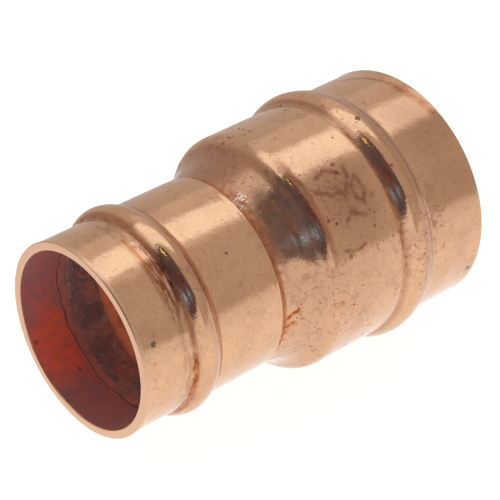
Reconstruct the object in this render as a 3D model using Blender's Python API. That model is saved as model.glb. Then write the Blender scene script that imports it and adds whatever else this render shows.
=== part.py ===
"""Solder-ring reducing coupling for copper tube, 28 mm to 22 mm.

One drawn copper body with a socket at each end, and a ring of solder held in the groove
behind the raised bead of each socket. The coupling's axis lies along X: the small mouth
faces -X, the large mouth faces +X, and the origin is on the axis, halfway along it.
Lengths are written in millimetres and stations count from the small mouth; MM turns
them into metres.
"""

import math

import bmesh
import bpy

MM = 0.001
SEGMENTS = 48  # facets around the axis

# Overall
LENGTH = 50.7
RIM_EDGE = 0.18  # rounding where the sawn rims meet the inner and outer walls
RIM_FLARE = 0.10  # how far the cut rims spread
FLARE_RUN = 1.6  # length over which that spread dies out

# Small end: takes a 22 mm tube
SMALL_BORE = 11.05
SMALL_COLLAR = 12.11  # outer radius in front of the bead
SMALL_SOCKET = 12.25  # outer radius behind the bead
SMALL_BEAD = {"start": 7.0, "crest": 8.82, "end": 10.9, "radius": 13.15}
SMALL_GROOVE = {"start": 6.4, "crest": 8.9, "end": 11.3, "radius": 12.20}

# Large end: takes a 28 mm tube
LARGE_BORE = 14.05
LARGE_SOCKET = 15.20
LARGE_COLLAR = 15.18
LARGE_BEAD = {"start": 37.3, "crest": 39.35, "end": 42.1, "radius": 16.27}
LARGE_GROOVE = {"start": 36.5, "crest": 39.6, "end": 42.3, "radius": 15.28}

# Middle: a crease at the root of the shoulder, then one S-shaped curve up to the socket
SINK_START = 18.8  # where the small socket starts to sink towards the crease
ROOT = 20.8
ROOT_RADIUS = 12.15  # where the shoulder's curve would start if it had no crease
CREASE = {"start": 20.2, "end": 23.2, "depth": 0.26}  # deepest at the root
CREASE_SHARPNESS = 1.5  # above 1, the crease is steeper near the root
SHOULDER_LEAVE = (26.5, 12.85)  # control point that the curve leaves the root towards
SHOULDER_ARRIVE = (24.8, 15.2)  # control point that it comes from at the top
SHOULDER_END = 27.4
WALL = 1.12
TUBE_STOP = {"start": 19.8, "crest": 20.9, "end": 22.5, "radius": 10.45}  # inner ridge
LEAST_STEP = 0.03  # inner points closer than this to the large bore are left out

# Solder rings
RING_GAP = 0.33  # between a ring and the groove that holds it
RING_RECESS = 0.05  # how far a ring sits below the bore
RING_EDGE = 0.14  # thickness of a ring at its two edges

BEAD_POINTS = 10
SHOULDER_POINTS = 10
RING_POINTS = 9

COPPER = {"color": (0.77, 0.46, 0.28, 1.0), "roughness": 0.2}
SOLDER = {"color": (0.47, 0.43, 0.40, 1.0), "roughness": 0.55}


def mix(a, b, t):
    return a + (b - a) * t


def steps(start, end, count):
    """count + 1 values from start to end, evenly spaced."""
    return [mix(start, end, i / count) for i in range(count + 1)]


def climb(x, shape):
    """0 at a shape's start and end, 1 at its crest, in a straight line between."""
    if x < shape["crest"]:
        return max(0.0, (x - shape["start"]) / (shape["crest"] - shape["start"]))
    return max(0.0, (shape["end"] - x) / (shape["end"] - shape["crest"]))


def rolled(x, shape):
    """Height share of a bead: it meets the wall at a crease and its top is rounded."""
    return 1 - (1 - climb(x, shape)) ** 2


def pressed(x, shape):
    """Height share of a groove: it leaves the wall and turns back in smooth waves."""
    return (1 - math.cos(math.pi * climb(x, shape))) / 2


def raised_outline(shape, rise, before, after, count=BEAD_POINTS):
    """Points along a bead or groove that stands on a wall of radius before, then after."""
    rising = steps(shape["start"], shape["crest"], count // 2)
    falling = steps(shape["crest"], shape["end"], count // 2)[1:]
    return [(x, mix(before, shape["radius"], rise(x, shape))) for x in rising] + [
        (x, mix(after, shape["radius"], rise(x, shape))) for x in falling
    ]


def bezier(p0, p1, p2, p3, t):
    weights = ((1 - t) ** 3, 3 * (1 - t) ** 2 * t, 3 * (1 - t) * t**2, t**3)
    return tuple(
        sum(w * p[axis] for w, p in zip(weights, (p0, p1, p2, p3))) for axis in (0, 1)
    )


def shoulder_outline():
    root, top = (ROOT, ROOT_RADIUS), (SHOULDER_END, LARGE_SOCKET)
    return [
        bezier(root, SHOULDER_LEAVE, SHOULDER_ARRIVE, top, t)
        for t in steps(0.0, 1.0, SHOULDER_POINTS)
    ]


def offset_inwards(outline, distance):
    """The outline moved towards the axis, square to its own direction at each point."""
    moved = []
    for i, (x, r) in enumerate(outline):
        x0, r0 = outline[max(i - 1, 0)]
        x1, r1 = outline[min(i + 1, len(outline) - 1)]
        run = math.hypot(x1 - x0, r1 - r0)
        moved.append((x + distance * (r1 - r0) / run, r - distance * (x1 - x0) / run))
    return moved


def rim_outline(station, outer, bore, inwards):
    """Outer wall to bore across a sawn rim; inwards is +1 or -1, the way into the fitting."""
    edge = RIM_EDGE
    corner = edge * (1 - math.sqrt(0.5))
    return [
        (station + inwards * FLARE_RUN, outer),
        (station + inwards * edge, outer + RIM_FLARE),
        (station + inwards * corner, outer + RIM_FLARE - corner),
        (station, outer + RIM_FLARE - edge),
        (station, bore + edge),
        (station + inwards * corner, bore + corner),
        (station + inwards * edge, bore),
    ]


def outer_wall():
    """Outside of the body between its rims, small end to large end."""
    crease = [(SINK_START, SMALL_SOCKET), (CREASE["start"], ROOT_RADIUS)]
    for x, r in shoulder_outline():
        ease_out = max(0.0, (CREASE["end"] - x) / (CREASE["end"] - ROOT))
        crease.append((x, r - CREASE["depth"] * ease_out**CREASE_SHARPNESS))
    return (
        raised_outline(SMALL_BEAD, rolled, SMALL_COLLAR, SMALL_SOCKET)
        + crease
        + raised_outline(LARGE_BEAD, rolled, LARGE_SOCKET, LARGE_COLLAR)
    )


def inner_wall():
    """Inside of the body between its rims, large end to small end."""
    shoulder = offset_inwards(shoulder_outline(), WALL)
    shoulder = [p for p in shoulder if p[0] > TUBE_STOP["end"] and p[1] < LARGE_BORE - LEAST_STEP]
    forwards = (
        raised_outline(SMALL_GROOVE, pressed, SMALL_BORE, SMALL_BORE)
        + raised_outline(TUBE_STOP, pressed, SMALL_BORE, shoulder[0][1])[:-1]
        + shoulder
        + [(SHOULDER_END, LARGE_BORE)]
        + raised_outline(LARGE_GROOVE, pressed, LARGE_BORE, LARGE_BORE)
    )
    return forwards[::-1]


def body_outline():
    small_rim = rim_outline(0.0, SMALL_COLLAR, SMALL_BORE, inwards=1)
    large_rim = rim_outline(LENGTH, LARGE_COLLAR, LARGE_BORE, inwards=-1)
    return small_rim[::-1] + outer_wall() + large_rim + inner_wall()


def ring_outline(groove, bore):
    """A lens of solder that follows the groove and ends flush with the bore, less its gaps."""
    inner = bore + RING_RECESS
    needed = (inner + RING_EDGE + RING_GAP - bore) / (groove["radius"] - bore)
    share = math.acos(1 - 2 * needed) / math.pi
    first = mix(groove["start"], groove["crest"], share)
    last = mix(groove["end"], groove["crest"], share)
    back = [
        (x, mix(bore, groove["radius"], pressed(x, groove)) - RING_GAP)
        for x in steps(first, last, RING_POINTS)
    ]
    return back + [(last, inner), (first, inner)]


def copper_or_solder(name, finish):
    material = bpy.data.materials.new(name)
    material.use_nodes = True
    shader = material.node_tree.nodes["Principled BSDF"]
    shader.inputs["Base Color"].default_value = finish["color"]
    shader.inputs["Roughness"].default_value = finish["roughness"]
    shader.inputs["Metallic"].default_value = 1.0
    material.diffuse_color = finish["color"]
    return material


def turned_piece(name, outline, material, parent):
    """Spins a closed outline of (station, radius) points once around the X axis."""
    mesh = bpy.data.meshes.new(name)
    form = bmesh.new()
    points = [form.verts.new(((x - LENGTH / 2) * MM, 0.0, r * MM)) for x, r in outline]
    edges = [form.edges.new((a, b)) for a, b in zip(points, points[1:] + points[:1])]
    bmesh.ops.spin(
        form,
        geom=points + edges,
        cent=(0.0, 0.0, 0.0),
        axis=(1.0, 0.0, 0.0),
        angle=2 * math.pi,
        steps=SEGMENTS,
        use_merge=True,
    )
    bmesh.ops.remove_doubles(form, verts=form.verts, dist=1e-6)
    bmesh.ops.recalc_face_normals(form, faces=form.faces)
    form.to_mesh(mesh)
    form.free()
    mesh.materials.append(material)
    mesh.shade_smooth()
    mesh.set_sharp_from_angle(angle=math.radians(35))
    piece = bpy.data.objects.new(name, mesh)
    piece.parent = parent
    bpy.context.scene.collection.objects.link(piece)
    return piece


def main():
    for old in list(bpy.data.objects):
        bpy.data.objects.remove(old)
    axis = bpy.data.objects.new("coupling_axis", None)
    axis.empty_display_size = LENGTH * MM / 2
    bpy.context.scene.collection.objects.link(axis)
    turned_piece("fitting_body", body_outline(), copper_or_solder("copper", COPPER), axis)
    solder = copper_or_solder("solder", SOLDER)
    turned_piece("solder_ring_22", ring_outline(SMALL_GROOVE, SMALL_BORE), solder, axis)
    turned_piece("solder_ring_28", ring_outline(LARGE_GROOVE, LARGE_BORE), solder, axis)


main()
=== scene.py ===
import functools
import math

import bpy
import numpy as np
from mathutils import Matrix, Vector


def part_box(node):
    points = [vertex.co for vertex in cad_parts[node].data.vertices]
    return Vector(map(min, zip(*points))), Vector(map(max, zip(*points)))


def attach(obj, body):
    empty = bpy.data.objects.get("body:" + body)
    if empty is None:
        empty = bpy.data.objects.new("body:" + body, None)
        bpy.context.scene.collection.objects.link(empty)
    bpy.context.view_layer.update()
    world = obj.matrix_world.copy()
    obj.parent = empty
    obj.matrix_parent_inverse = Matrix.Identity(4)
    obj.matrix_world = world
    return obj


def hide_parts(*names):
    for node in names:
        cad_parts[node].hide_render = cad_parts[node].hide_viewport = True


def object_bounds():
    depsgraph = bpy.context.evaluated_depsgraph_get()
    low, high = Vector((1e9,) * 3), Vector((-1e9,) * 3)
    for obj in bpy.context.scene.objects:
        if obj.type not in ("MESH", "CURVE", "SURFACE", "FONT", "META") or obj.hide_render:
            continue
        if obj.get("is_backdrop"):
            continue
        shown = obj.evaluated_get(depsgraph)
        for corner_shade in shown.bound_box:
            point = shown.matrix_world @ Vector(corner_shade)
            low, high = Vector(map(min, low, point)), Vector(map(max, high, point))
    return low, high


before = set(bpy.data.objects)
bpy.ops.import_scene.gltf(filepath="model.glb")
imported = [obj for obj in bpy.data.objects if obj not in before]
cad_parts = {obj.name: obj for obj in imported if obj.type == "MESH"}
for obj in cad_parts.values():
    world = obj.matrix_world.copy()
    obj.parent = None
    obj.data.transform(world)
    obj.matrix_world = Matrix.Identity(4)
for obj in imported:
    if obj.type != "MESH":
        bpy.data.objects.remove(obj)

MM = 0.001
cad_low, cad_high = (list(corner_shade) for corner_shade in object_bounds())
LENGTH = (cad_high[0] - cad_low[0]) / MM
FLOOR_HEIGHT = cad_low[2]

# ---------------------------------------------------------------------------
# Driving dimensions, millimetres. Stations run along the axis from the small mouth.
# Angles go round the axis in degrees, with 0 at +Y, 90 at the top and 180 at -Y.
# ---------------------------------------------------------------------------
RIM_EDGE = 0.16  # rounding where the sawn rims meet the inner and outer walls
RIM_FLARE = 0.10  # how far the cut rims spread
FLARE_RUN = 1.6  # length over which that spread dies out
SMALL_BORE, SMALL_COLLAR, SMALL_SOCKET = 11.05, 12.11, 12.25
LARGE_BORE, LARGE_SOCKET, LARGE_COLLAR = 14.05, 15.20, 15.18
SMALL_BEAD = {"start": 7.0, "crest": 8.82, "end": 10.9, "radius": 13.15}
LARGE_BEAD = {"start": 37.3, "crest": 39.35, "end": 42.1, "radius": 16.25}
LARGE_BEAD_FILLET = 0.02  # softness of the corner behind the large bead; the others are sharp
SMALL_GROOVE = {"start": 6.4, "crest": 8.9, "end": 11.3, "radius": 12.20}
LARGE_GROOVE = {"start": 36.5, "crest": 39.6, "end": 42.3, "radius": 15.28}
SINK_START = 18.8  # where the small socket starts to sink towards the root
ROOT, ROOT_RADIUS = 20.8, 12.15  # where the shoulder's curve starts
LIP = {"start": 19.6, "crest": 20.2, "end": 20.7, "height": 0.06}  # just before the crease
CREASE = {"start": 20.35, "crest": 20.9, "end": 23.6, "depth": 0.36}
CREASE_SHARPNESS = 1.4  # above 1, the crease is steeper near its deepest line
SHOULDER_LEAVE = (26.5, 12.85)  # control point that the curve leaves the root towards
SHOULDER_ARRIVE = (24.8, 15.2)  # control point that it comes from at the top
SHOULDER_END = 27.4
WALL = 1.12  # thickness across the shoulder
TUBE_STOP = {"start": 19.8, "crest": 20.9, "end": 22.5, "radius": 10.45}
REAM_DEPTH, REAM_STEP = 5.6, 0.05  # the mouth is reamed this deep and this much wider
REAM_RUN = 0.05  # half the length of the step where the reaming ends

# Solder: it fills its groove and has spread in a thin lumpy skin over the bore
RING_SPILL = 0.75  # how far it has spread past each edge of its groove
RING_BACK = 0.02  # how far its back is sunk into the groove's wall
RING_TUCK = 0.05  # how far its two edges are sunk into the bore's wall
RING_CROWN = 0.11  # how far its middle stands above its edges
RING_CROWN_POWER = 0.7  # below 1, the middle is flat and the edges steep
RING_FRAY = 0.22  # how far its edges wander along the bore
RING_SLUMP = {"along": 0.06, "height": 0.03}
RING_LUMPS = 0.045

# Rows of the drawn mesh: start, end and pitch of each stretch
SEGMENTS = 512
RING_ROWS = 40
OUTER_STRETCHES = (
    (RIM_EDGE, 5.0, 0.4), (5.0, 11.4, 0.11), (11.4, 19.4, 0.45), (19.4, 22.8, 0.07),
    (22.8, 28.0, 0.2), (28.0, 36.8, 0.5), (36.8, 43.4, 0.12), (43.4, LENGTH - RIM_EDGE, 0.45),
)
INNER_STRETCHES = (
    (RIM_EDGE, 5.3, 0.5), (5.3, 5.9, 0.06), (5.9, 12.5, 0.18), (12.5, 19.6, 0.6),
    (19.6, 28.0, 0.2), (28.0, 36.0, 0.7), (36.0, 42.6, 0.2), (42.6, LENGTH - RIM_EDGE, 0.6),
)
RIM_STEPS = 5
RIM_FLAT = (0.35, 0.65)  # shares of the way across the flat of a rim

RIPPLE_PEAK = 1.5  # a usual peak of many waves added up, in shares of their spread
# Ripples: height, seed, number of waves, shortest wave along the axis, most waves per turn
OUTER_RIPPLES = ((0.016, 11, 10, 40.0, 3), (0.0030, 12, 40, 3.0, 12), (0.0012, 13, 50, 0.9, 40))
INNER_RIPPLES = ((0.010, 21, 12, 30.0, 3), (0.004, 22, 50, 1.2, 40))
# Ripples in one stretch only: its start, crest and end, then the same five values
ROOT_RIPPLES = (20.5, 21.3, 22.4, 0.020, 14, 60, 1.1, 70)
BEAD_RIPPLES = (5.4, 6.7, 7.4, 0.007, 16, 50, 1.0, 45)
FLUX_RIPPLES = (REAM_DEPTH - 0.3, 8.0, 12.5, 0.014, 23, 60, 0.8, 60)
SCORE = {"before": 0.25, "after": 0.2, "depth": 0.05}  # the line scored behind the small bead


def hump(x, start, crest, end):
    """0 outside start..end and 1 at the crest, with a smooth rise and fall."""
    share = np.where(x < crest, (x - start) / (crest - start), (end - x) / (end - crest))
    return (1 - np.cos(np.pi * np.clip(share, 0, 1))) / 2


def ease(x, start, end):
    t = np.clip((x - start) / (end - start), 0, 1)
    return t * t * (3 - 2 * t)


def pressed(x, base, shape):
    """A groove: it leaves the wall and turns back in smooth waves."""
    rise = hump(x, shape["start"], shape["crest"], shape["end"])
    return base + (shape["radius"] - base) * rise


def rolled(x, base, shape, fillet=0.0):
    """A bead: a rounded top that meets the wall at a crease, or in a small fillet behind."""
    start, crest, end = shape["start"], shape["crest"], shape["end"]
    fall = np.where(x < crest, (crest - x) / (crest - start), (x - crest) / (end - crest))
    rise = 1 - np.clip(fall, 0, 1) ** 2
    if fillet:
        drop = 1 - ((x - crest) / (end - crest)) ** 2
        eased = (drop + np.sqrt(drop**2 + fillet)) / (1 + math.sqrt(1 + fillet))
        rise = np.where(x > crest, eased, rise)
    return base + (shape["radius"] - base) * rise


def shoulder_curve(count=400):
    """Stations and radii along the S-shaped curve from the root to the large socket."""
    t = np.linspace(0, 1, count)[:, None]
    corners = [np.array(p) for p in (
        (ROOT, ROOT_RADIUS), SHOULDER_LEAVE, SHOULDER_ARRIVE, (SHOULDER_END, LARGE_SOCKET)
    )]
    weights = ((1 - t) ** 3, 3 * (1 - t) ** 2 * t, 3 * (1 - t) * t**2, t**3)
    return sum(w * c for w, c in zip(weights, corners)).T


def outer_radius(x):
    stations, radii = shoulder_curve()
    base = np.where(x < SMALL_BEAD["crest"], SMALL_COLLAR, SMALL_SOCKET)
    base = base - (SMALL_SOCKET - ROOT_RADIUS) * ease(x, SINK_START, ROOT)
    base = np.where(x > ROOT, np.interp(x, stations, radii), base)
    base = np.where(x > SHOULDER_END, LARGE_SOCKET, base)
    base = np.where(x > LARGE_BEAD["crest"], LARGE_COLLAR, base)
    base = base + LIP["height"] * hump(x, LIP["start"], LIP["crest"], LIP["end"])
    drop = ease(x, CREASE["start"], CREASE["crest"])
    rest = np.clip((CREASE["end"] - x) / (CREASE["end"] - CREASE["crest"]), 0, 1)
    base = base - CREASE["depth"] * drop * rest**CREASE_SHARPNESS
    base = rolled(x, base, SMALL_BEAD)
    base = rolled(x, base, LARGE_BEAD, LARGE_BEAD_FILLET)
    to_rim = np.minimum(x, LENGTH - x)
    return base + RIM_FLARE * np.clip(1 - to_rim / FLARE_RUN, 0, 1) ** 2


def inner_radius(x):
    stations, radii = shoulder_curve()
    slope = np.gradient(radii, stations)
    run = np.hypot(1, slope)
    inner_x, inner_r = stations + WALL * slope / run, radii - WALL / run
    order = np.argsort(inner_x)
    shoulder = np.interp(x, inner_x[order], inner_r[order])
    base = np.where(x < TUBE_STOP["crest"], SMALL_BORE, np.minimum(shoulder, LARGE_BORE))
    base = base + REAM_STEP * (1 - ease(x, REAM_DEPTH - REAM_RUN, REAM_DEPTH + REAM_RUN))
    base = pressed(x, base, TUBE_STOP)
    for groove in (SMALL_GROOVE, LARGE_GROOVE):
        base = pressed(x, base, groove)
    return base


def ripple(x, phi, seed, count, length, around):
    """Smooth noise that closes on itself round the axis, about 1 high.

    length is the shortest wave along the axis in millimetres, around the most waves per turn.
    """
    rng = np.random.default_rng(seed)
    total = np.zeros(np.broadcast(x, phi).shape)
    for _ in range(count):
        turns = rng.integers(0, around + 1)
        pitch = rng.uniform(-1, 1) * 2 * math.pi / length
        total += np.cos(pitch * x + turns * phi + rng.uniform(0, 2 * math.pi))
    return total / math.sqrt(count / 2) / RIPPLE_PEAK


def near(x, phi, station, angle, half_length, half_angle):
    """1 at one place on the surface, falling smoothly to 0 at the half widths."""
    turn = (np.degrees(phi) - angle + 180) % 360 - 180
    away = np.hypot((x - station) / half_length, turn / half_angle)
    return 1 - ease(away, 0, 1)


# Dents and wrinkles: station, angle, half length, half angle, depth
DENTS = (
    (3.4, 118, 0.9, 4, 0.020), (16.2, 150, 1.1, 5, 0.018), (31.5, 96, 1.3, 4, 0.020),
    (29.8, 168, 1.2, 5, 0.025), (46.3, 140, 1.2, 4, 0.020), (14.4, 60, 1.0, 5, 0.020),
    (33.2, 20, 1.5, 5, 0.030), (4.6, 300, 1.0, 6, 0.025), (30.4, 250, 1.6, 6, 0.030),
    (47.0, 330, 1.2, 5, 0.025), (17.0, 215, 1.0, 5, 0.020),
)


def rippled(x, phi, kinds):
    """Several ripples added up, each given by its height and the values that ripple takes."""
    return sum(height * ripple(x, phi, *values) for height, *values in kinds)


def rippled_stretch(x, phi, start, crest, end, height, *values):
    """One ripple that is felt only between start and end, and most at the crest."""
    return height * hump(x, start, crest, end) * ripple(x, phi, *values)


def outer_relief(x, phi):
    """Departures of the drawn outside from a perfect turned shape."""
    relief = rippled(x, phi, OUTER_RIPPLES)
    for station, angle, half_length, half_angle, depth in DENTS:
        relief -= depth * near(x, phi, station, angle, half_length, half_angle)
    relief += rippled_stretch(x, phi, *ROOT_RIPPLES)
    relief -= fold_relief(x, phi)
    relief += rippled_stretch(x, phi, *BEAD_RIPPLES)
    bead_end = SMALL_BEAD["end"]
    return relief - SCORE["depth"] * hump(
        x, bead_end - SCORE["before"], bead_end, bead_end + SCORE["after"]
    )


# Folds gathered at the root: station and angle at each end, half width, depth
FOLDS = (
    (20.8, 185, 22.7, 178, 0.20, 0.13), (20.7, 192, 22.3, 186, 0.20, 0.14),
    (20.6, 197, 21.9, 192, 0.16, 0.11), (21.0, 165, 22.0, 167, 0.13, 0.06),
    (20.8, 240, 22.6, 246, 0.18, 0.12), (20.8, 322, 22.4, 327, 0.16, 0.10),
    (20.9, 18, 22.5, 24, 0.16, 0.09),
)
FOLD_FADE = 0.7  # share of its depth that a fold loses along its length
FOLD_ROUNDING = 0.6  # how much of the way past a fold's end counts as distance from it


def fold_relief(x, phi):
    """How deep the folds cut: deepest at their first end, fading towards the second."""
    total = 0.0
    for x0, a0, x1, a1, half_width, depth in FOLDS:
        along = np.clip((x - x0) / (x1 - x0), 0, 1)
        centre = a0 + (a1 - a0) * along
        turn = (np.degrees(phi) - centre + 180) % 360 - 180
        past = FOLD_ROUNDING * (x - x0 - (x1 - x0) * along)
        off = np.hypot(np.radians(turn) * ROOT_RADIUS, past)
        total = total + depth * np.exp(-((off / half_width) ** 2)) * (1 - FOLD_FADE * along)
    return total


def inner_relief(x, phi):
    return rippled(x, phi, INNER_RIPPLES) + rippled_stretch(x, phi, *FLUX_RIPPLES)


# ---------------------------------------------------------------------------
# Mesh code
# ---------------------------------------------------------------------------
def stations_along(stretches):
    """Stations from (start, end, pitch) stretches, without repeats."""
    found = []
    for start, end, pitch in stretches:
        count = max(1, round((end - start) / pitch))
        found.extend(np.linspace(start, end, count, endpoint=False))
    return np.array(found + [stretches[-1][1]])


def grid_mesh(name, rows, phi):
    """A closed mesh from rows of (x, r), each one value or one per angle; the last meets the first."""
    count = len(phi)
    points = np.empty((len(rows), count, 3))
    for i, (x, r) in enumerate(rows):
        points[i, :, 0] = (x - LENGTH / 2) * MM
        points[i, :, 1] = r * np.cos(phi) * MM
        points[i, :, 2] = r * np.sin(phi) * MM
    i, j = np.meshgrid(np.arange(len(rows)), np.arange(count), indexing="ij")
    k, l = (i + 1) % len(rows), (j + 1) % count
    faces = np.stack([i * count + j, i * count + l, k * count + l, k * count + j], -1)
    mesh = bpy.data.meshes.new(name)
    mesh.from_pydata(points.reshape(-1, 3).tolist(), [], faces.reshape(-1, 4).tolist())
    mesh.shade_smooth()
    return mesh


def add_piece(name, mesh, node, materials):
    piece = bpy.data.objects.new(name, mesh)
    bpy.context.scene.collection.objects.link(piece)
    for material in materials:
        mesh.materials.append(material)
    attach(piece, "root")
    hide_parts(node)


# The body's surfaces, in the order of its materials
OUTSIDE, BORE, RIM = range(3)


def rim_rows(station, inwards, wall, bore):
    """Rows over a sawn rim: round its outer edge, across its flat, round its inner edge."""
    quarter = np.radians(np.linspace(0, 90, RIM_STEPS))
    stations = station + inwards * RIM_EDGE * (1 - np.sin(quarter))
    steps = RIM_EDGE * (1 - np.cos(quarter))
    outer = [(x, wall - step) for x, step in zip(stations, steps)]
    inner = [(x, bore + step) for x, step in zip(stations[::-1], steps[::-1])]
    top = wall - RIM_EDGE
    flat = [(station, top + (bore - wall + 2 * RIM_EDGE) * share) for share in RIM_FLAT]
    return outer + flat + inner


def body_rows(phi):
    """Rows of the whole body, and which surface each row's faces belong to."""
    outer = [
        (x, outer_radius(x) + outer_relief(x, phi)) for x in stations_along(OUTER_STRETCHES)
    ]
    inner = [
        (x, inner_radius(x) + inner_relief(x, phi)) for x in stations_along(INNER_STRETCHES)
    ][::-1]
    small = rim_rows(0.0, 1, outer[0][1], inner[-1][1])[::-1]
    large = rim_rows(LENGTH, -1, outer[-1][1], inner[0][1])
    rows, surface = [], []
    for part, kind in ((outer[1:-1], OUTSIDE), (large, RIM), (inner[1:-1], BORE), (small, RIM)):
        rows.extend(part)
        surface.extend([kind] * len(part))
    return rows, surface


def angles_round():
    return np.linspace(0, 2 * np.pi, SEGMENTS, endpoint=False)


def build_body(materials):
    """materials are in the order of the body's surfaces."""
    phi = angles_round()
    rows, surface = body_rows(phi)
    mesh = grid_mesh("fitting_body_drawn", rows, phi)
    mesh.polygons.foreach_set("material_index", np.repeat(surface, SEGMENTS))
    add_piece("fitting_body_drawn", mesh, "fitting_body", materials)


def build_ring(name, node, groove, bore, material, seed):
    """Solder that fills its groove and has spread in a thin lumpy skin over the bore."""
    phi = angles_round()
    low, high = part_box(node)
    first, last = low.x / MM + LENGTH / 2 - RING_SPILL, high.x / MM + LENGTH / 2 + RING_SPILL
    share = np.linspace(0, 1, RING_ROWS)
    x = first + (last - first) * share
    back = [(s, pressed(s, bore, groove) + RING_BACK) for s in x]
    fray = ripple(0.0, phi, seed + 2, 25, 9.0, 45)
    slump = ripple(0.0, phi, seed + 1, 14, 9.0, 12)
    front = []
    for s, t, crown in zip(x, share, np.sin(np.pi * share) ** RING_CROWN_POWER):
        strayed = s + RING_FRAY * fray * (2 * t - 1) * (1 - crown) + RING_SLUMP["along"] * slump
        lumps = RING_LUMPS * crown * ripple(s, phi, seed, 70, 0.8, 80)
        sunk = bore + RING_TUCK - (RING_CROWN + RING_SLUMP["height"] * slump) * crown
        front.append((strayed, sunk + lumps))
    mesh = grid_mesh(name, back + front[::-1], phi)
    add_piece(name, mesh, node, [material])


# ---------------------------------------------------------------------------
# Materials
# ---------------------------------------------------------------------------
class Graph:
    """Short names for the shader nodes that the materials use."""

    def __init__(self, name):
        self.material = bpy.data.materials.new(name)
        self.material.use_nodes = True
        self.tree = self.material.node_tree
        self.shader = self.tree.nodes["Principled BSDF"]
        self.place = self.add("ShaderNodeTexCoord").outputs["Object"]
        split = self.add("ShaderNodeSeparateXYZ", {0: self.place})
        self.x, self.y, self.z = split.outputs
        self.turn = self.math("ARCTAN2", self.z, self.y)

    def add(self, kind, inputs=None, **settings):
        node = self.tree.nodes.new(kind)
        for key, value in settings.items():
            setattr(node, key, value)
        for key, value in (inputs or {}).items():
            if isinstance(value, bpy.types.NodeSocket):
                self.tree.links.new(value, node.inputs[key])
            else:
                node.inputs[key].default_value = value
        return node

    def math(self, operation, a, b=0.0, c=0.0):
        node = self.add("ShaderNodeMath", {0: a, 1: b, 2: c}, operation=operation)
        return node.outputs[0]

    def product(self, *factors):
        return functools.reduce(functools.partial(self.math, "MULTIPLY"), factors)

    def total(self, *terms):
        return functools.reduce(functools.partial(self.math, "ADD"), terms)

    def largest(self, *masks):
        return functools.reduce(functools.partial(self.math, "MAXIMUM"), masks)

    def vector(self, operation, a, b):
        return self.add("ShaderNodeVectorMath", {0: a, 1: b}, operation=operation)

    def stretched(self, along, across):
        """Object coordinates scaled along the axis and across it."""
        return self.vector("MULTIPLY", self.place, (along, across, across)).outputs[0]

    def streaks(self, size, length, detail=5.0):
        """Noise drawn out round the axis: size and length of its features in millimetres."""
        turn = self.math("ARCTAN2", self.y, self.z)
        turn = self.math("MULTIPLY", turn, SMALL_SOCKET * MM * size / length)
        place = self.add("ShaderNodeCombineXYZ", {0: self.x, 1: turn}).outputs[0]
        return self.noise(size, detail, 0.65, place, 0.4)

    def noise(self, size, detail=2.0, roughness=0.5, vector=None, distortion=0.0):
        """Noise whose features are about size millimetres across."""
        node = self.add("ShaderNodeTexNoise", {
            "Vector": vector or self.place, "Scale": 1 / (size * MM), "Detail": detail,
            "Roughness": roughness, "Distortion": distortion,
        })
        return node.outputs["Fac"]

    def between(self, value, low, high, to_low=0.0, to_high=1.0):
        node = self.add("ShaderNodeMapRange", {
            "Value": value, "From Min": low, "From Max": high,
            "To Min": to_low, "To Max": to_high,
        }, interpolation_type="SMOOTHSTEP")
        return node.outputs["Result"]

    def band(self, start, end, soft):
        """1 between two stations, in millimetres from the small mouth."""
        def after(station):
            edges = (station - soft, station + soft)
            return self.between(self.x, *((edge - LENGTH / 2) * MM for edge in edges))

        return self.math("SUBTRACT", after(start), after(end))

    def sector(self, start, end, soft):
        """1 between two angles round the axis, in degrees from -180 to 180."""
        def after(angle):
            return self.between(self.turn, math.radians(angle - soft), math.radians(angle + soft))

        return self.math("SUBTRACT", after(start), after(end))

    def unrolled(self, radius, wobble):
        """Station and distance round the axis in millimetres, wavering by about wobble."""
        station = self.math("MULTIPLY_ADD", self.x, 1 / MM, LENGTH / 2)
        below = self.math("LESS_THAN", self.turn, 0.0)
        wrapped = self.math("ADD", self.turn, self.math("MULTIPLY", below, math.tau))
        round_axis = self.math("MULTIPLY", wrapped, radius)
        place = self.add("ShaderNodeCombineXYZ", {0: station, 1: round_axis})
        waver = self.add("ShaderNodeTexNoise", {
            "Vector": self.place, "Scale": 1 / (WAVER_LENGTH * MM), "Detail": 4.0,
        })
        shift = self.add("ShaderNodeVectorMath", {
            0: waver.outputs["Color"], 1: (wobble, wobble, 0.0), 2: place.outputs[0],
        }, operation="MULTIPLY_ADD")
        centre = (wobble / 2, wobble / 2, 0.0)
        return self.vector("SUBTRACT", shift.outputs[0], centre).outputs[0]

    def stroke(self, plane, radius, width, *points):
        """1 on a line through (station, angle) places, on the plane made by unrolled."""
        ends = [Vector((station, math.radians(angle) * radius, 0.0)) for station, angle in points]
        away = []
        for first, last in zip(ends, ends[1:]):
            run = last - first
            start = self.vector("SUBTRACT", plane, first).outputs[0]
            share = self.vector("DOT_PRODUCT", start, run / run.length_squared).outputs["Value"]
            share = self.add("ShaderNodeClamp", {"Value": share}).outputs[0]
            foot = self.add("ShaderNodeVectorMath", {0: run, "Scale": share}, operation="SCALE")
            away.append(self.vector("DISTANCE", start, foot.outputs[0]).outputs["Value"])
        nearest = functools.reduce(functools.partial(self.math, "MINIMUM"), away)
        return self.between(nearest, 0.0, width, 1.0, 0.0)

    def lines(self, plane, radius, marks):
        """Several strokes, each given as its width and the places that it goes through."""
        strokes = [self.stroke(plane, radius, width, *places) for width, *places in marks]
        return self.largest(*strokes)

    def spot(self, station, angle, radius, reach):
        """1 at a place on the surface, 0 beyond reach millimetres from it."""
        turn = math.radians(angle)
        centre = Vector((station - LENGTH / 2, radius * math.cos(turn), radius * math.sin(turn))) * MM
        away = self.vector("DISTANCE", self.place, centre).outputs["Value"]
        return self.between(away, 0.0, reach * MM, 1.0, 0.0)

    def spots(self, places):
        """Masks and strengths, for most, of spots whose last value is their strength."""
        return [(self.spot(*place), strength) for *place, strength in places]

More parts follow.
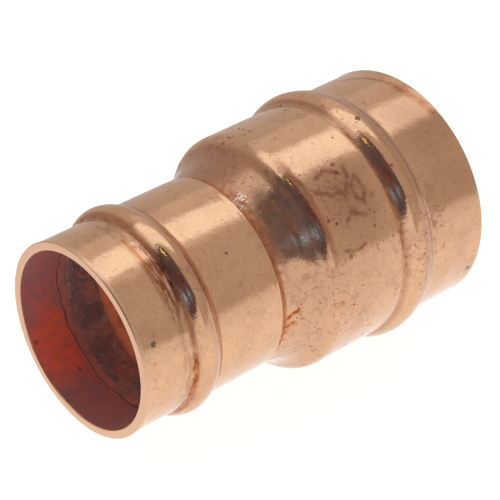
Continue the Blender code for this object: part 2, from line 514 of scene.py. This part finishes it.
    def bands(self, places):
        """Masks and strengths, for most, of bands whose last value is their strength."""
        return [(self.band(*place), strength) for *place, strength in places]

    def most(self, *parts):
        """The largest of several masks, each times its own strength."""
        return self.largest(*(self.math("MULTIPLY", mask, strength) for mask, strength in parts))

    def specks(self, spacing, size, share):
        """Ragged dots: spacing and size in millimetres, share is the part of cells with one."""
        wobble = self.add("ShaderNodeTexNoise", {
            "Vector": self.place, "Scale": 1 / (size * MM), "Detail": 2.0,
        }).outputs["Color"]
        centred = self.vector("SUBTRACT", wobble, (0.5, 0.5, 0.5))
        moved = self.add("ShaderNodeVectorMath", {
            0: centred.outputs[0], 1: (SPECK_RAGGEDNESS * size * MM,) * 3, 2: self.place,
        }, operation="MULTIPLY_ADD").outputs[0]
        cells = self.add("ShaderNodeTexVoronoi", {
            "Vector": moved, "Scale": 1 / (spacing * MM), "Randomness": 1.0,
        })
        chance = self.add("ShaderNodeSeparateColor", {0: cells.outputs["Color"]})
        widest = size / spacing
        limit = self.between(chance.outputs[1], 0.0, 1.0, SMALLEST_SPECK * widest, widest)
        dot = self.math("LESS_THAN", cells.outputs["Distance"], limit)
        chosen = self.math("LESS_THAN", chance.outputs[0], share)
        return self.math("MULTIPLY", dot, chosen)

    def blend(self, amount, a, b):
        node = self.add("ShaderNodeMix", {"Factor": amount}, data_type="RGBA")
        for key, value in (("A", a), ("B", b)):
            socket = [s for s in node.inputs if s.name == key and s.type == "RGBA"][0]
            if isinstance(value, bpy.types.NodeSocket):
                self.tree.links.new(value, socket)
            else:
                socket.default_value = (*value, 1.0)
        return [s for s in node.outputs if s.type == "RGBA"][0]

    def finish(self, color, roughness, height, metallic=None):
        """Links the results; height is in metres, and without metallic it is all bare metal."""
        self.shader.inputs["Metallic"].default_value = 1.0
        if metallic is not None:
            self.tree.links.new(metallic, self.shader.inputs["Metallic"])
        self.tree.links.new(color, self.shader.inputs["Base Color"])
        self.tree.links.new(roughness, self.shader.inputs["Roughness"])
        bump = self.add("ShaderNodeBump", {"Height": height, "Distance": 1.0, "Strength": 1.0})
        self.tree.links.new(bump.outputs[0], self.shader.inputs["Normal"])
        return self.material


# Colours of the metal, of what has formed on it, and of painted light and shade
COPPER = (0.77, 0.457, 0.272)
TARNISH = (0.50, 0.250, 0.145)
BROWN = (0.27, 0.105, 0.060)
# painted shade along the shoulder's rounded end
CORNER_SHADE_BROWN = (0.42, 0.16, 0.085)
GRAIN_BROWN = (0.42, 0.19, 0.11)
SCUFF_BROWN = (0.36, 0.155, 0.09)
# painted shade that hides the warm lamp's glint on the shoulder
GLINT_SHADE_BROWN = (0.16, 0.07, 0.045)
SCORCH_BROWN = (0.30, 0.11, 0.06)
ARC_BROWN = (0.45, 0.165, 0.070)
CURL_BROWN = (0.30, 0.105, 0.065)
RUST = (0.46, 0.175, 0.085)
# painted light and shade in the creases: the darker shade, then the orange of light bounced in them
CREASE_SHADE_ORANGE = (0.40, 0.13, 0.055)
CREASE_BOUNCE_ORANGE = (0.66, 0.24, 0.075)
BRIGHT_OXIDE = (0.58, 0.19, 0.06)
# painted bounce light and shade along the root's folds and a crease: the orange, then the darker shade at
# their cores
FOLD_BOUNCE_ORANGE = (0.70, 0.20, 0.04)
FOLD_SHADE_CORE = (0.28, 0.06, 0.02)
# painted glints
GLINT_WHITE = (1.0, 0.92, 0.84)

# Spots: station, angle, radius of the surface there, reach, strength
DULL_SPOTS = (
    (31.5, 133, 15.2, 8.0, 0.85), (48.0, 118, 15.2, 10.0, 0.60), (31.0, 178, 15.2, 8.0, 0.25),
    (47.5, 145, 15.2, 8.0, 0.42), (31.0, 300, 15.2, 12.0, 0.40), (16.0, 240, 12.2, 9.0, 0.35),
)
STAIN_SPOTS = (
    (31.8, 132, 15.2, 6.5, 1.0), (26.8, 111, 14.9, 3.0, 1.0), (29.0, 250, 15.2, 7.0, 1.0),
    (45.0, 320, 15.2, 6.0, 1.0), (41.0, 165, 15.8, 8.0, 1.0), (23.5, 95, 12.8, 4.5, 1.0),
    (25.6, 66, 14.4, 5.0, 1.0), (27.5, 188, 15.0, 6.5, 0.8), (41.5, 100, 15.4, 5.0, 0.7),
    (9.6, 135, 12.8, 3.5, 0.7),
)
RUSTY_SPOTS = (
    (27.5, 172, 14.8, 10.0, 1.0), (24.0, 158, 13.5, 4.5, 1.0), (38.0, 170, 15.6, 8.0, 0.6),
    (30.0, 280, 15.2, 12.0, 0.8),
)
# Painted shade: dark spots that hide the warm lamp's glint on the concave part of the shoulder
GLINT_SHADE_SPOTS = ((24.2, 116, 13.3, 1.5, 0.9), (23.4, 111, 12.9, 1.8, 0.6))

# Bands round the axis: start, end, softness, strength
DULL_BANDS = (
    (9.2, 10.9, 0.4, 0.40), (36.9, 37.7, 0.3, 0.55), (39.9, 42.1, 0.5, 0.60),
    (21.4, 26.5, 1.2, 0.20),
)
STAIN_BANDS = ((21.6, 27.0, 0.9, 0.30),)
ROUGH_BANDS = ((20.9, 22.3, 0.4, 0.16), (6.7, 7.6, 0.25, 0.12), (36.9, 37.7, 0.25, 0.10))
FILM_BANDS = ((20.9, 25.7, 0.3, 0.16),)

# Lines: width, then the (station, angle) of each place that the line goes through
COLLAR_ARC = (
    (0.60, (44.6, 58), (47.0, 69), (48.4, 78), (49.0, 90), (49.4, 103)),
    (1.15, (49.0, 94), (49.5, 104), (50.1, 115)),
)
WATER_CURLS = (
    (0.55, (33.6, 121), (33.2, 127), (32.0, 131.5), (29.8, 130), (27.7, 124), (26.7, 112)),
    (0.58, (34.2, 127), (33.0, 131), (33.1, 136), (33.8, 139), (34.5, 134), (34.5, 129)),
    (0.55, (30.4, 143), (31.4, 140), (33.0, 144)),
    (0.50, (29.2, 121), (31.0, 118), (32.6, 123)),
    (0.45, (28.6, 155), (30.0, 157), (31.6, 156)),
)
# painted bounce light and shade along the root's folds and the small bead's front crease
FOLD_LIGHT_LINES = (
    (0.55, (22.6, 179), (21.2, 184)), (0.50, (22.2, 187), (20.9, 191)),
    (0.45, (21.8, 192), (20.6, 196)), (0.36, (21.5, 200), (20.5, 203)),
    (0.45, (7.15, 176), (7.15, 188), (6.9, 204)),
)
SPECK_RAGGEDNESS = 1.2  # how far a speck's outline strays, in shares of its size
SMALLEST_SPECK = 0.25  # size of the smallest speck, as a share of the widest
WAVER, WAVER_LENGTH = 1.0, 1.3  # how far the lines stray, and over what length


def dulled(g):
    """Broad tarnish: patches everywhere, heavier on the beads, shoulder and large socket; painted shade in
    a brown band along the shoulder's rounded end.
    """
    patches = g.between(g.noise(4.0, 5, 0.62), 0.42, 0.70)
    color = g.blend(g.product(patches, 0.26), COPPER, TARNISH)
    dull = g.most(*g.spots(DULL_SPOTS), *g.bands(DULL_BANDS))
    top = g.product(g.band(20.7, 25.8, 0.35), g.sector(35, 113, 6))
    feet = g.largest(g.band(7.15, 7.8, 0.2), g.band(37.45, 38.0, 0.2))
    feet = g.product(feet, g.sector(50, 113, 8))
    color = g.blend(g.most((dull, 1.0), (top, 0.92), (feet, 0.95)), color, TARNISH)
    # painted shade: a brown band along the shoulder's rounded end, standing in for the dark edge of a
    # reflection there
    corner_shade = g.product(
        g.band(26.45, 27.5, 0.3), g.sector(106, 151, 6),
        g.between(g.streaks(0.7, 3.0), 0.30, 0.55, 0.45, 0.85),
    )
    return g.blend(corner_shade, color, CORNER_SHADE_BROWN), dull, top, feet, corner_shade


def stained(g, color):
    """Cloudy stains with soft edges, and rusty blots on the underside."""
    cloud = g.between(g.noise(1.2, 6, 0.66, distortion=1.3), 0.50, 0.68)
    veins = g.between(g.noise(0.8, 5, 0.7, g.stretched(1.6, 0.8), 0.6), 0.56, 0.70)
    places = g.most(*g.spots(STAIN_SPOTS), *g.bands(STAIN_BANDS))
    strength = g.math("ADD", 0.17, g.product(places, 0.68))
    color = g.blend(g.product(g.largest(cloud, veins), strength), color, BROWN)
    color, grain = drawn_grain(g, color)
    blots = g.between(g.noise(1.0, 5, 0.66, distortion=0.6), 0.57, 0.64)
    blots = g.product(blots, g.most(*g.spots(RUSTY_SPOTS)), 0.85)
    return g.blend(blots, color, RUST), g.product(cloud, places), grain


def drawn_grain(g, color):
    """The fine grain and the scuffs of the drawn surface."""
    grain = g.between(g.noise(0.26, 5, 0.72), 0.44, 0.72)
    color = g.blend(g.product(grain, 0.28), color, GRAIN_BROWN)
    scuffs = g.between(g.noise(0.35, 6, 0.75, distortion=1.5), 0.57, 0.66)
    return g.blend(g.product(scuffs, 0.48), color, SCUFF_BROWN), grain


def water_marked(g, color):
    """Dried water marks: an arc on the large collar, curls on the large socket."""
    plane = g.unrolled(LARGE_SOCKET, WAVER)
    veil = g.between(g.noise(0.9, 4, 0.6), 0.30, 0.60, 0.35, 1.0)
    arc = g.lines(plane, LARGE_SOCKET, COLLAR_ARC)
    color = g.blend(g.product(arc, veil, 0.90), color, ARC_BROWN)
    curls = g.lines(plane, LARGE_SOCKET, WATER_CURLS)
    return g.blend(g.product(curls, veil, 0.88), color, CURL_BROWN), curls


def creased(g, color):
    """Painted bounce light and shade in the creases, orange with darker streaks: at the shoulder's root,
    before both beads, behind the small one.
    """
    wander = g.streaks(0.8, 2.6)
    held = g.between(wander, 0.38, 0.56)
    root = g.product(g.band(20.6, 21.2, 0.15), g.between(wander, 0.22, 0.48, 0.5, 0.95))
    apron = g.product(
        g.band(21.1, 21.9, 0.22), g.sector(98, 147, 8), g.between(wander, 0.25, 0.60, 0.30, 0.75)
    )
    small_rear = g.product(g.band(10.72, 11.02, 0.09), 0.85)
    small_front = g.product(g.band(6.95, 7.4, 0.18), held, 0.8)
    large_front = g.product(g.band(37.1, 37.5, 0.14), held, g.sector(104, 178, 10))
    crease = g.largest(root, apron, small_front, small_rear, large_front)
    # painted light and shade in the creases: orange for light bounced in them, with darker streaks of shade
    crease_tone = g.blend(g.between(g.streaks(0.35, 1.0), 0.36, 0.62), CREASE_BOUNCE_ORANGE, CREASE_SHADE_ORANGE)
    return g.blend(crease, color, crease_tone), crease


def painted_fold_light(g, color):
    """Painted bounce light and shade: orange streaks with dark cores, low on the root along its folds and
    in the crease in front of the small bead.
    """
    fold_light = g.lines(g.unrolled(SMALL_SOCKET, WAVER), SMALL_SOCKET, FOLD_LIGHT_LINES)
    broken = g.between(g.noise(0.6, 4), 0.3, 0.6, 0.35, 1.0)
    color = g.blend(g.product(fold_light, broken), color, FOLD_BOUNCE_ORANGE)
    fold_shade = g.between(g.product(fold_light, g.between(g.noise(0.5, 4), 0.42, 0.58)), 0.35, 0.8)
    return g.blend(g.product(fold_shade, 0.8), color, FOLD_SHADE_CORE)


def scorched(g, color):
    """Brown scorch just in front of the small bead, thickest towards the top."""
    scorch = g.product(g.band(5.3, 7.5, 0.6), g.between(g.streaks(0.55, 2.6, 6), 0.40, 0.58))
    strength = g.math("ADD", 0.42, g.product(g.spot(6.6, 126, 12.2, 8.0), 0.85))
    color = g.blend(g.product(scorch, strength), color, SCORCH_BROWN)
    lick = g.product(
        g.band(5.55, 5.95, 0.15), g.between(g.spot(5.8, 110, 12.1, 4.0), 0.0, 0.5),
        g.between(g.streaks(0.4, 1.2), 0.36, 0.52), 0.95,
    )
    return g.blend(lick, color, BRIGHT_OXIDE)


def specked(g, color):
    """Specks in three sizes, thickest on the shoulder and the large socket, and painted glints: white
    specks near the root crease.
    """
    crowd = g.between(g.noise(3.2, 4, 0.65), 0.42, 0.62)
    crowd = g.product(crowd, g.math("ADD", 0.45, g.band(21.5, 42.0, 1.5)))
    small = g.product(g.specks(0.50, 0.17, 0.50), crowd)
    color = g.blend(g.product(small, 0.55), color, (0.38, 0.16, 0.09))
    medium = g.product(g.specks(1.15, 0.34, 0.45), crowd)
    color = g.blend(g.product(medium, 0.62), color, (0.30, 0.11, 0.06))
    large = g.specks(3.4, 0.42, 0.20)
    color = g.blend(g.product(large, 0.80), color, (0.15, 0.06, 0.045))
    # painted glints: white specks near the top of the root crease
    place = g.between(g.spot(21.35, 107, 12.0, 1.9), 0.2, 0.6, 0.0, 0.7)
    painted_glint = g.product(g.specks(0.24, 0.22, 0.7), place)
    return g.blend(painted_glint, color, GLINT_WHITE), g.largest(small, medium, large), painted_glint


def copper_outside():
    g = Graph("bright_copper")
    color, dull, top, feet, corner_shade = dulled(g)
    color, cloudy, grain = stained(g, color)
    color, curls = water_marked(g, color)
    color, crease = creased(g, color)
    color = painted_fold_light(g, color)
    # painted shade that hides the warm lamp's glint on the concave part of the shoulder
    dark_spot = g.most(*g.spots(GLINT_SHADE_SPOTS))
    color = g.blend(dark_spot, color, GLINT_SHADE_BROWN)
    color = scorched(g, color)
    color, specks, painted_glint = specked(g, color)
    # polished where it is clean, duller under whatever has formed on it and over the painted light and
    # shade
    rough = g.total(
        0.066, g.product(grain, 0.07), g.product(g.largest(specks, crease), 0.28),
        g.product(g.largest(dull, cloudy), 0.09),
        g.most(
            *g.bands(ROUGH_BANDS), (top, 0.12), (dark_spot, 0.25), (feet, 0.10), (painted_glint, 0.25)
        ),
    )
    film_and_painted_light = g.most(*g.bands(FILM_BANDS), (dull, 0.20), (crease, 0.5), (corner_shade, 0.3), (curls, 0.3))
    metallic = g.math("SUBTRACT", 1.0, film_and_painted_light)
    height = g.total(
        g.product(g.noise(0.16, 3, 0.6, g.stretched(0.5, 1.0)), 0.0050 * MM),
        g.product(g.noise(0.32, 3, 0.65), 0.0115 * MM),
        g.product(g.noise(1.2, 2, 0.5), 0.012 * MM),
    )
    return g.finish(color, rough, height, metallic)


# Colours inside the bore
BORE_RED = (0.50, 0.18, 0.17)
BORE_DULL = (0.38, 0.185, 0.185)
BORE_LIT = (1.0, 0.17, 0.095)
BORE_STREAK = (0.62, 0.16, 0.09)
BORE_SCORCH = (0.40, 0.14, 0.13)
BORE_SPECK = (0.16, 0.06, 0.055)
FLUX_RED = (0.60, 0.22, 0.175)
FLUX_BROWN = (0.42, 0.20, 0.175)
FLUX_DARK = (0.22, 0.17, 0.165)
FLUX_PALE = (0.30, 0.34, 0.34)
DEEP_GOLD = (0.95, 0.52, 0.31)
DEEP_BROWN = (0.60, 0.25, 0.16)
# painted shade at the step where the reamed mouth ends
STEP_SHADE_BLACK = (0.09, 0.05, 0.048)
CLEAN_FROM, CLEAN_TO = 9.8, 11.6  # stations over which the flux stain gives way to clean metal


def red_mouth(g):
    """The reamed part of the bore: dull red, with painted light making it brighter low at the back,
    scorched and streaked.
    """
    stain = g.between(g.noise(1.6, 6, 0.68), 0.36, 0.66)
    streak = g.between(g.noise(0.35, 5, 0.70, g.stretched(0.14, 1.0)), 0.40, 0.62)
    color = g.blend(stain, BORE_RED, BORE_DULL)
    # painted light: brighter low at the back of the bore
    lit = g.most((g.spot(3.4, 322, 11.0, 8.5), 1.25), (g.spot(2.4, 350, 11.0, 6.0), 0.55))
    lit = g.between(g.math("SUBTRACT", lit, g.product(stain, 0.30)), 0.0, 1.0)
    color = g.blend(lit, color, BORE_LIT)
    color = g.blend(g.product(streak, 0.22), color, BORE_STREAK)
    scorch = g.between(g.noise(0.9, 6, 0.72, g.stretched(0.35, 1.0), 0.8), 0.50, 0.64)
    color = g.blend(g.product(scorch, 0.45), color, BORE_SCORCH)
    return g.blend(g.product(g.specks(1.2, 0.25, 0.5), 0.6), color, BORE_SPECK)


def flux_stain(g, deep):
    """Past the reamed mouth: flux-stained brown with blots, then cleaner golden metal."""
    brown = g.blend(g.between(g.noise(2.2, 5, 0.62), 0.40, 0.62), FLUX_RED, FLUX_BROWN)
    dark_spot = g.between(g.noise(1.9, 6, 0.68, distortion=0.8), 0.44, 0.56)
    brown = g.blend(g.product(dark_spot, g.band(7.9, 10.0, 0.7), 0.85), brown, FLUX_DARK)
    pale = g.between(g.noise(0.8, 5, 0.7), 0.56, 0.66)
    brown = g.blend(g.product(pale, g.band(8.2, 10.2, 0.5), 0.7), brown, FLUX_PALE)
    gold = g.blend(g.between(g.noise(2.4, 5, 0.6), 0.42, 0.72), DEEP_GOLD, DEEP_BROWN)
    return g.blend(deep, brown, gold)


def copper_bore():
    g = Graph("oxidised_bore")
    wave = g.between(g.noise(2.4, 3, 0.55), 0.0, 1.0, -0.55 * MM, 0.55 * MM)
    waved = g.math("ADD", g.x, wave)
    edge = (REAM_DEPTH - LENGTH / 2) * MM
    past = g.between(waved, edge - 0.05 * MM, edge + 0.05 * MM)
    deep = g.between(waved, *((s - LENGTH / 2) * MM for s in (CLEAN_FROM, CLEAN_TO)))
    color = g.blend(past, red_mouth(g), flux_stain(g, deep))
    # painted shade: the dark line where the reamed mouth ends, at the step in the bore
    step_shade = g.math("SUBTRACT", past, g.between(waved, edge + 0.08 * MM, edge + 0.26 * MM))
    color = g.blend(g.product(step_shade, 0.85), color, STEP_SHADE_BLACK)
    rough = g.between(g.noise(0.6, 4, 0.6), 0.2, 0.8, 0.30, 0.46)
    height = g.product(g.noise(0.4, 4, 0.6), 0.010 * MM)
    return g.finish(color, rough, height, g.between(deep, 0.0, 1.0, 0.08, 0.50))


def sawn_rim():
    g = Graph("sawn_rim")
    lines = g.noise(0.12, 3, 0.6)
    color = g.blend(g.between(lines, 0.3, 0.7), (0.80, 0.50, 0.33), (0.70, 0.40, 0.25))
    rough = g.between(lines, 0.2, 0.8, 0.22, 0.38)
    return g.finish(color, rough, g.product(lines, 0.002 * MM))


def solder():
    """Dull cast solder under brown flux, with dark blots and bare blue-grey patches."""
    g = Graph("stained_solder")
    flux = g.between(g.noise(2.2, 5, 0.62), 0.40, 0.62)
    color = g.blend(flux, (0.52, 0.22, 0.175), (0.35, 0.19, 0.165))
    dark_spot = g.between(g.noise(2.0, 6, 0.70, distortion=0.8), 0.45, 0.57)
    color = g.blend(g.product(dark_spot, 0.85), color, (0.21, 0.155, 0.150))
    bare = g.between(g.noise(0.9, 5, 0.7, distortion=0.6), 0.54, 0.62)
    color = g.blend(g.product(bare, 0.85), color, (0.33, 0.38, 0.39))
    rough = g.between(g.noise(0.5, 4, 0.6), 0.2, 0.8, 0.30, 0.50)
    height = g.product(g.noise(0.45, 4, 0.6), 0.03 * MM)
    return g.finish(color, rough, height, g.between(bare, 0.0, 1.0, 0.10, 0.35))


# ---------------------------------------------------------------------------
# Stage: floor, backdrop, soft light and camera, in metres and degrees. Directions are seen
# from the object: azimuth from +X towards +Y, elevation up from the floor. The patches stand
# at slightly different distances, and a nearer one hides what is behind it.
# ---------------------------------------------------------------------------
STAGE_RADIUS = 3.0
FLOOR_REACH = 1.02  # half width of the floor, in shares of the stage's radius
FLOOR_GLOW = 0.86
TABLE_DROP = 0.0005  # how far the reflected table lies below the visible floor
DOME_STEPS = (24, 12)  # faces along and up a patch
PATCHES_PER_METRE = 3.0
PATCH_EDGES = (0.46, 0.60)  # noise values between which a patchy surface changes colour

WHITE = (1.0, 1.0, 1.0)
ROOM_GREY = (0.59, 0.545, 0.51)
FLOOR_GREY = (0.5, 0.5, 0.5)
DARK_ROOM, ROOM_HAZE = (0.085, 0.108, 0.175), (0.25, 0.140, 0.125)
PALE_WALL = (0.95, 0.93, 0.91)
RED_DARK, RED_GLOW = (0.10, 0.06, 0.07), (0.36, 0.070, 0.065)
BLUE_DARK, BLUE_GLOW = (0.12, 0.15, 0.21), (0.52, 1.05, 1.80)
LAMP_YELLOW = (2.9, 2.8, 0.6)
SOFT_BOX = (1.27, 1.37, 1.43)
HALO = (0.74, 0.71, 0.69)

# What polished copper sees of the table: bright close by, dimmer far off and behind.
# Name and azimuths, then the near edge, far edge and strength of each ring
TABLE = (
    ("table_front", (120, 350), (
        (0.0, 0.034, 1.09), (0.034, 0.06, 1.06), (0.06, 0.12, 0.98), (0.12, 0.30, 0.92),
        (0.30, 3.0, 0.86),
    )),
    ("table_rear", (-10, 120), ((0.0, 0.022, 1.09), (0.022, 0.034, 0.95), (0.034, 0.06, 0.75))),
)

# The camera looks along a heading, clockwise from +Y, and down from level
VIEW_HEADING, VIEW_DROP, VIEW_DISTANCE = 41.79, 33.98, 0.2410
VIEW_AIM = (0.0008, 0.0, 0.0008)
VIEW_LENS, VIEW_SENSOR = 144.0, 36.0  # millimetres


def emitter(name, color, patchy=None):
    """A plain glowing surface, or one broken up by noise into two colours."""
    material = bpy.data.materials.new(name)
    material.use_nodes = True
    nodes, links = material.node_tree.nodes, material.node_tree.links
    nodes.clear()
    glow = nodes.new("ShaderNodeEmission")
    glow.inputs["Color"].default_value = (*color, 1.0)
    if patchy:
        place, noise = nodes.new("ShaderNodeTexCoord"), nodes.new("ShaderNodeTexNoise")
        ramp = nodes.new("ShaderNodeValToRGB")
        noise.inputs["Scale"].default_value = PATCHES_PER_METRE
        noise.inputs["Detail"].default_value = 5.0
        for element, tone, at in zip(ramp.color_ramp.elements, (color, patchy), PATCH_EDGES):
            element.color, element.position = (*tone, 1.0), at
        links.new(place.outputs["Object"], noise.inputs["Vector"])
        links.new(noise.outputs["Fac"], ramp.inputs["Fac"])
        links.new(ramp.outputs["Color"], glow.inputs["Color"])
    out = nodes.new("ShaderNodeOutputMaterial")
    links.new(glow.outputs[0], out.inputs["Surface"])
    return material


def white_floor():
    """A pale floor that glows a little, so that it is nearly white in any corner."""
    material = bpy.data.materials.new("white_floor")
    material.use_nodes = True
    shader = material.node_tree.nodes["Principled BSDF"]
    shader.inputs["Base Color"].default_value = (*FLOOR_GREY, 1.0)
    shader.inputs["Roughness"].default_value = 0.9
    shader.inputs["Specular IOR Level"].default_value = 0.0
    shader.inputs["Emission Color"].default_value = (*WHITE, 1.0)
    shader.inputs["Emission Strength"].default_value = FLOOR_GLOW
    return material


def stage_mesh(name, points, faces, material, unseen_by=()):
    mesh = bpy.data.meshes.new(name)
    mesh.from_pydata(points, [], faces)
    mesh.materials.append(material)
    thing = bpy.data.objects.new(name, mesh)
    bpy.context.scene.collection.objects.link(thing)
    for kind in unseen_by:
        setattr(thing, "visible_" + kind, False)
    thing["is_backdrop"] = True


def dome_patch(name, azimuths, elevations, color, radius, unseen_by=("camera",), lean=0.0,
               patchy=None):
    """Part of a sphere round the object, between two azimuths and two elevations in degrees.

    lean is how many degrees it climbs for each degree of azimuth.
    """
    turns, lifts = DOME_STEPS
    points, faces = [], []
    for i in range(lifts + 1):
        lift = math.radians(elevations[0] + (elevations[1] - elevations[0]) * i / lifts)
        for j in range(turns + 1):
            along = (azimuths[1] - azimuths[0]) * j / turns
            turn, tip = math.radians(azimuths[0] + along), lift + math.radians(lean * along)
            points.append((
                radius * math.cos(tip) * math.cos(turn),
                radius * math.cos(tip) * math.sin(turn),
                radius * math.sin(tip),
            ))
    for i in range(lifts):
        for j in range(turns):
            a = i * (turns + 1) + j
            faces.append((a, a + 1, a + turns + 2, a + turns + 1))
    stage_mesh(name, points, faces, emitter(name, color, patchy), unseen_by)


def table_ring(name, azimuths, near_edge, far_edge, strength):
    """What polished metal sees of the table between two distances from the object."""
    turns = DOME_STEPS[0]
    points = []
    for radius in (near_edge, far_edge):
        for i in range(turns + 1):
            turn = math.radians(azimuths[0] + (azimuths[1] - azimuths[0]) * i / turns)
            points.append((radius * math.cos(turn), radius * math.sin(turn), FLOOR_HEIGHT - TABLE_DROP))
    faces = [(i, i + 1, i + turns + 2, i + turns + 1) for i in range(turns)]
    tone = (strength, strength, strength)
    stage_mesh(name, points, faces, emitter(name, tone), ("camera", "diffuse", "shadow"))


def ceiling_panel(name, heading, height, reach, width, color):
    """Level panel over the object; reach and width are measured from it along a heading."""
    heading = math.radians(heading)
    along = Vector((math.cos(heading), math.sin(heading), 0))
    across = Vector((-along.y, along.x, 0))
    corners = [
        along * d + across * w + Vector((0, 0, height))
        for d, w in ((reach[0], width[0]), (reach[1], width[0]), (reach[1], width[1]), (reach[0], width[1]))
    ]
    stage_mesh(name, corners, [(0, 1, 2, 3)], emitter(name, color), ("camera",))


def build_stage():
    world = bpy.data.worlds.new("studio")
    bpy.context.scene.world = world
    world.use_nodes = True
    world.node_tree.nodes["Background"].inputs["Color"].default_value = (*ROOM_GREY, 1.0)
    bpy.context.scene.view_settings.view_transform = "Standard"

    reach = STAGE_RADIUS * FLOOR_REACH
    corners = [
        (x * reach, y * reach, FLOOR_HEIGHT) for x, y in ((-1, -1), (1, -1), (1, 1), (-1, 1))
    ]
    stage_mesh("floor", corners, [(0, 1, 2, 3)], white_floor(), ("glossy",))
    hidden = ("diffuse", "glossy", "transmission", "shadow")
    dome_patch("backdrop", (0, 360), (-1, 90), WHITE, STAGE_RADIUS, hidden)

    for name, azimuths, rings in TABLE:
        for i, (near_edge, far_edge, strength) in enumerate(rings):
            table_ring(f"{name}_{i}", azimuths, near_edge, far_edge, strength)

    # the unlit room behind the camera: its lower edge rises to the right above a pale wall
    dome_patch("dark_room", (-197, -75), (28, 84), DARK_ROOM, 2.60, patchy=ROOM_HAZE)
    dome_patch("dark_corner", (-186, -75), (-21, 30), DARK_ROOM, 2.58, lean=0.46, patchy=ROOM_HAZE)
    dome_patch("pale_wall", (-180, -82), (-1, 34), PALE_WALL, 2.64)
    dome_patch("red_glow", (-142, -112), (41, 50), RED_DARK, 2.55, patchy=RED_GLOW)
    dome_patch("monitor_glow", (-158, -98), (11, 19), BLUE_DARK, 2.5, lean=0.36, patchy=BLUE_GLOW)
    dome_patch("warm_lamp", (-168, -156), (68, 74), LAMP_YELLOW, 2.5)

    # the soft box is a long ceiling panel that lies along the fitting, with a dimmer halo
    ceiling_panel("soft_box", -5.0, 1.0, (-0.85, 1.10), (0.01, 0.62), SOFT_BOX)
    ceiling_panel("halo", 27.0, 1.03, (0.35, 3.0), (-0.45, 0.80), HALO)


def build_camera():
    heading, drop = math.radians(VIEW_HEADING), math.radians(VIEW_DROP)
    forward = Vector((
        math.sin(heading) * math.cos(drop), math.cos(heading) * math.cos(drop), -math.sin(drop)
    ))
    camera = bpy.data.cameras.new("photo_view")
    camera.lens, camera.sensor_width = VIEW_LENS, VIEW_SENSOR
    camera.clip_start, camera.clip_end = 0.01, 20.0
    seen = bpy.data.objects.new("photo_view", camera)
    bpy.context.scene.collection.objects.link(seen)
    seen.location = Vector(VIEW_AIM) - forward * VIEW_DISTANCE
    seen.rotation_mode = "QUATERNION"
    seen.rotation_quaternion = forward.to_track_quat("-Z", "Y")
    bpy.context.scene.camera = seen


build_body([copper_outside(), copper_bore(), sawn_rim()])
tin = solder()
build_ring("solder_ring_22_cast", "solder_ring_22", SMALL_GROOVE, SMALL_BORE, tin, 41)
build_ring("solder_ring_28_cast", "solder_ring_28", LARGE_GROOVE, LARGE_BORE, tin, 51)
build_stage()
build_camera()
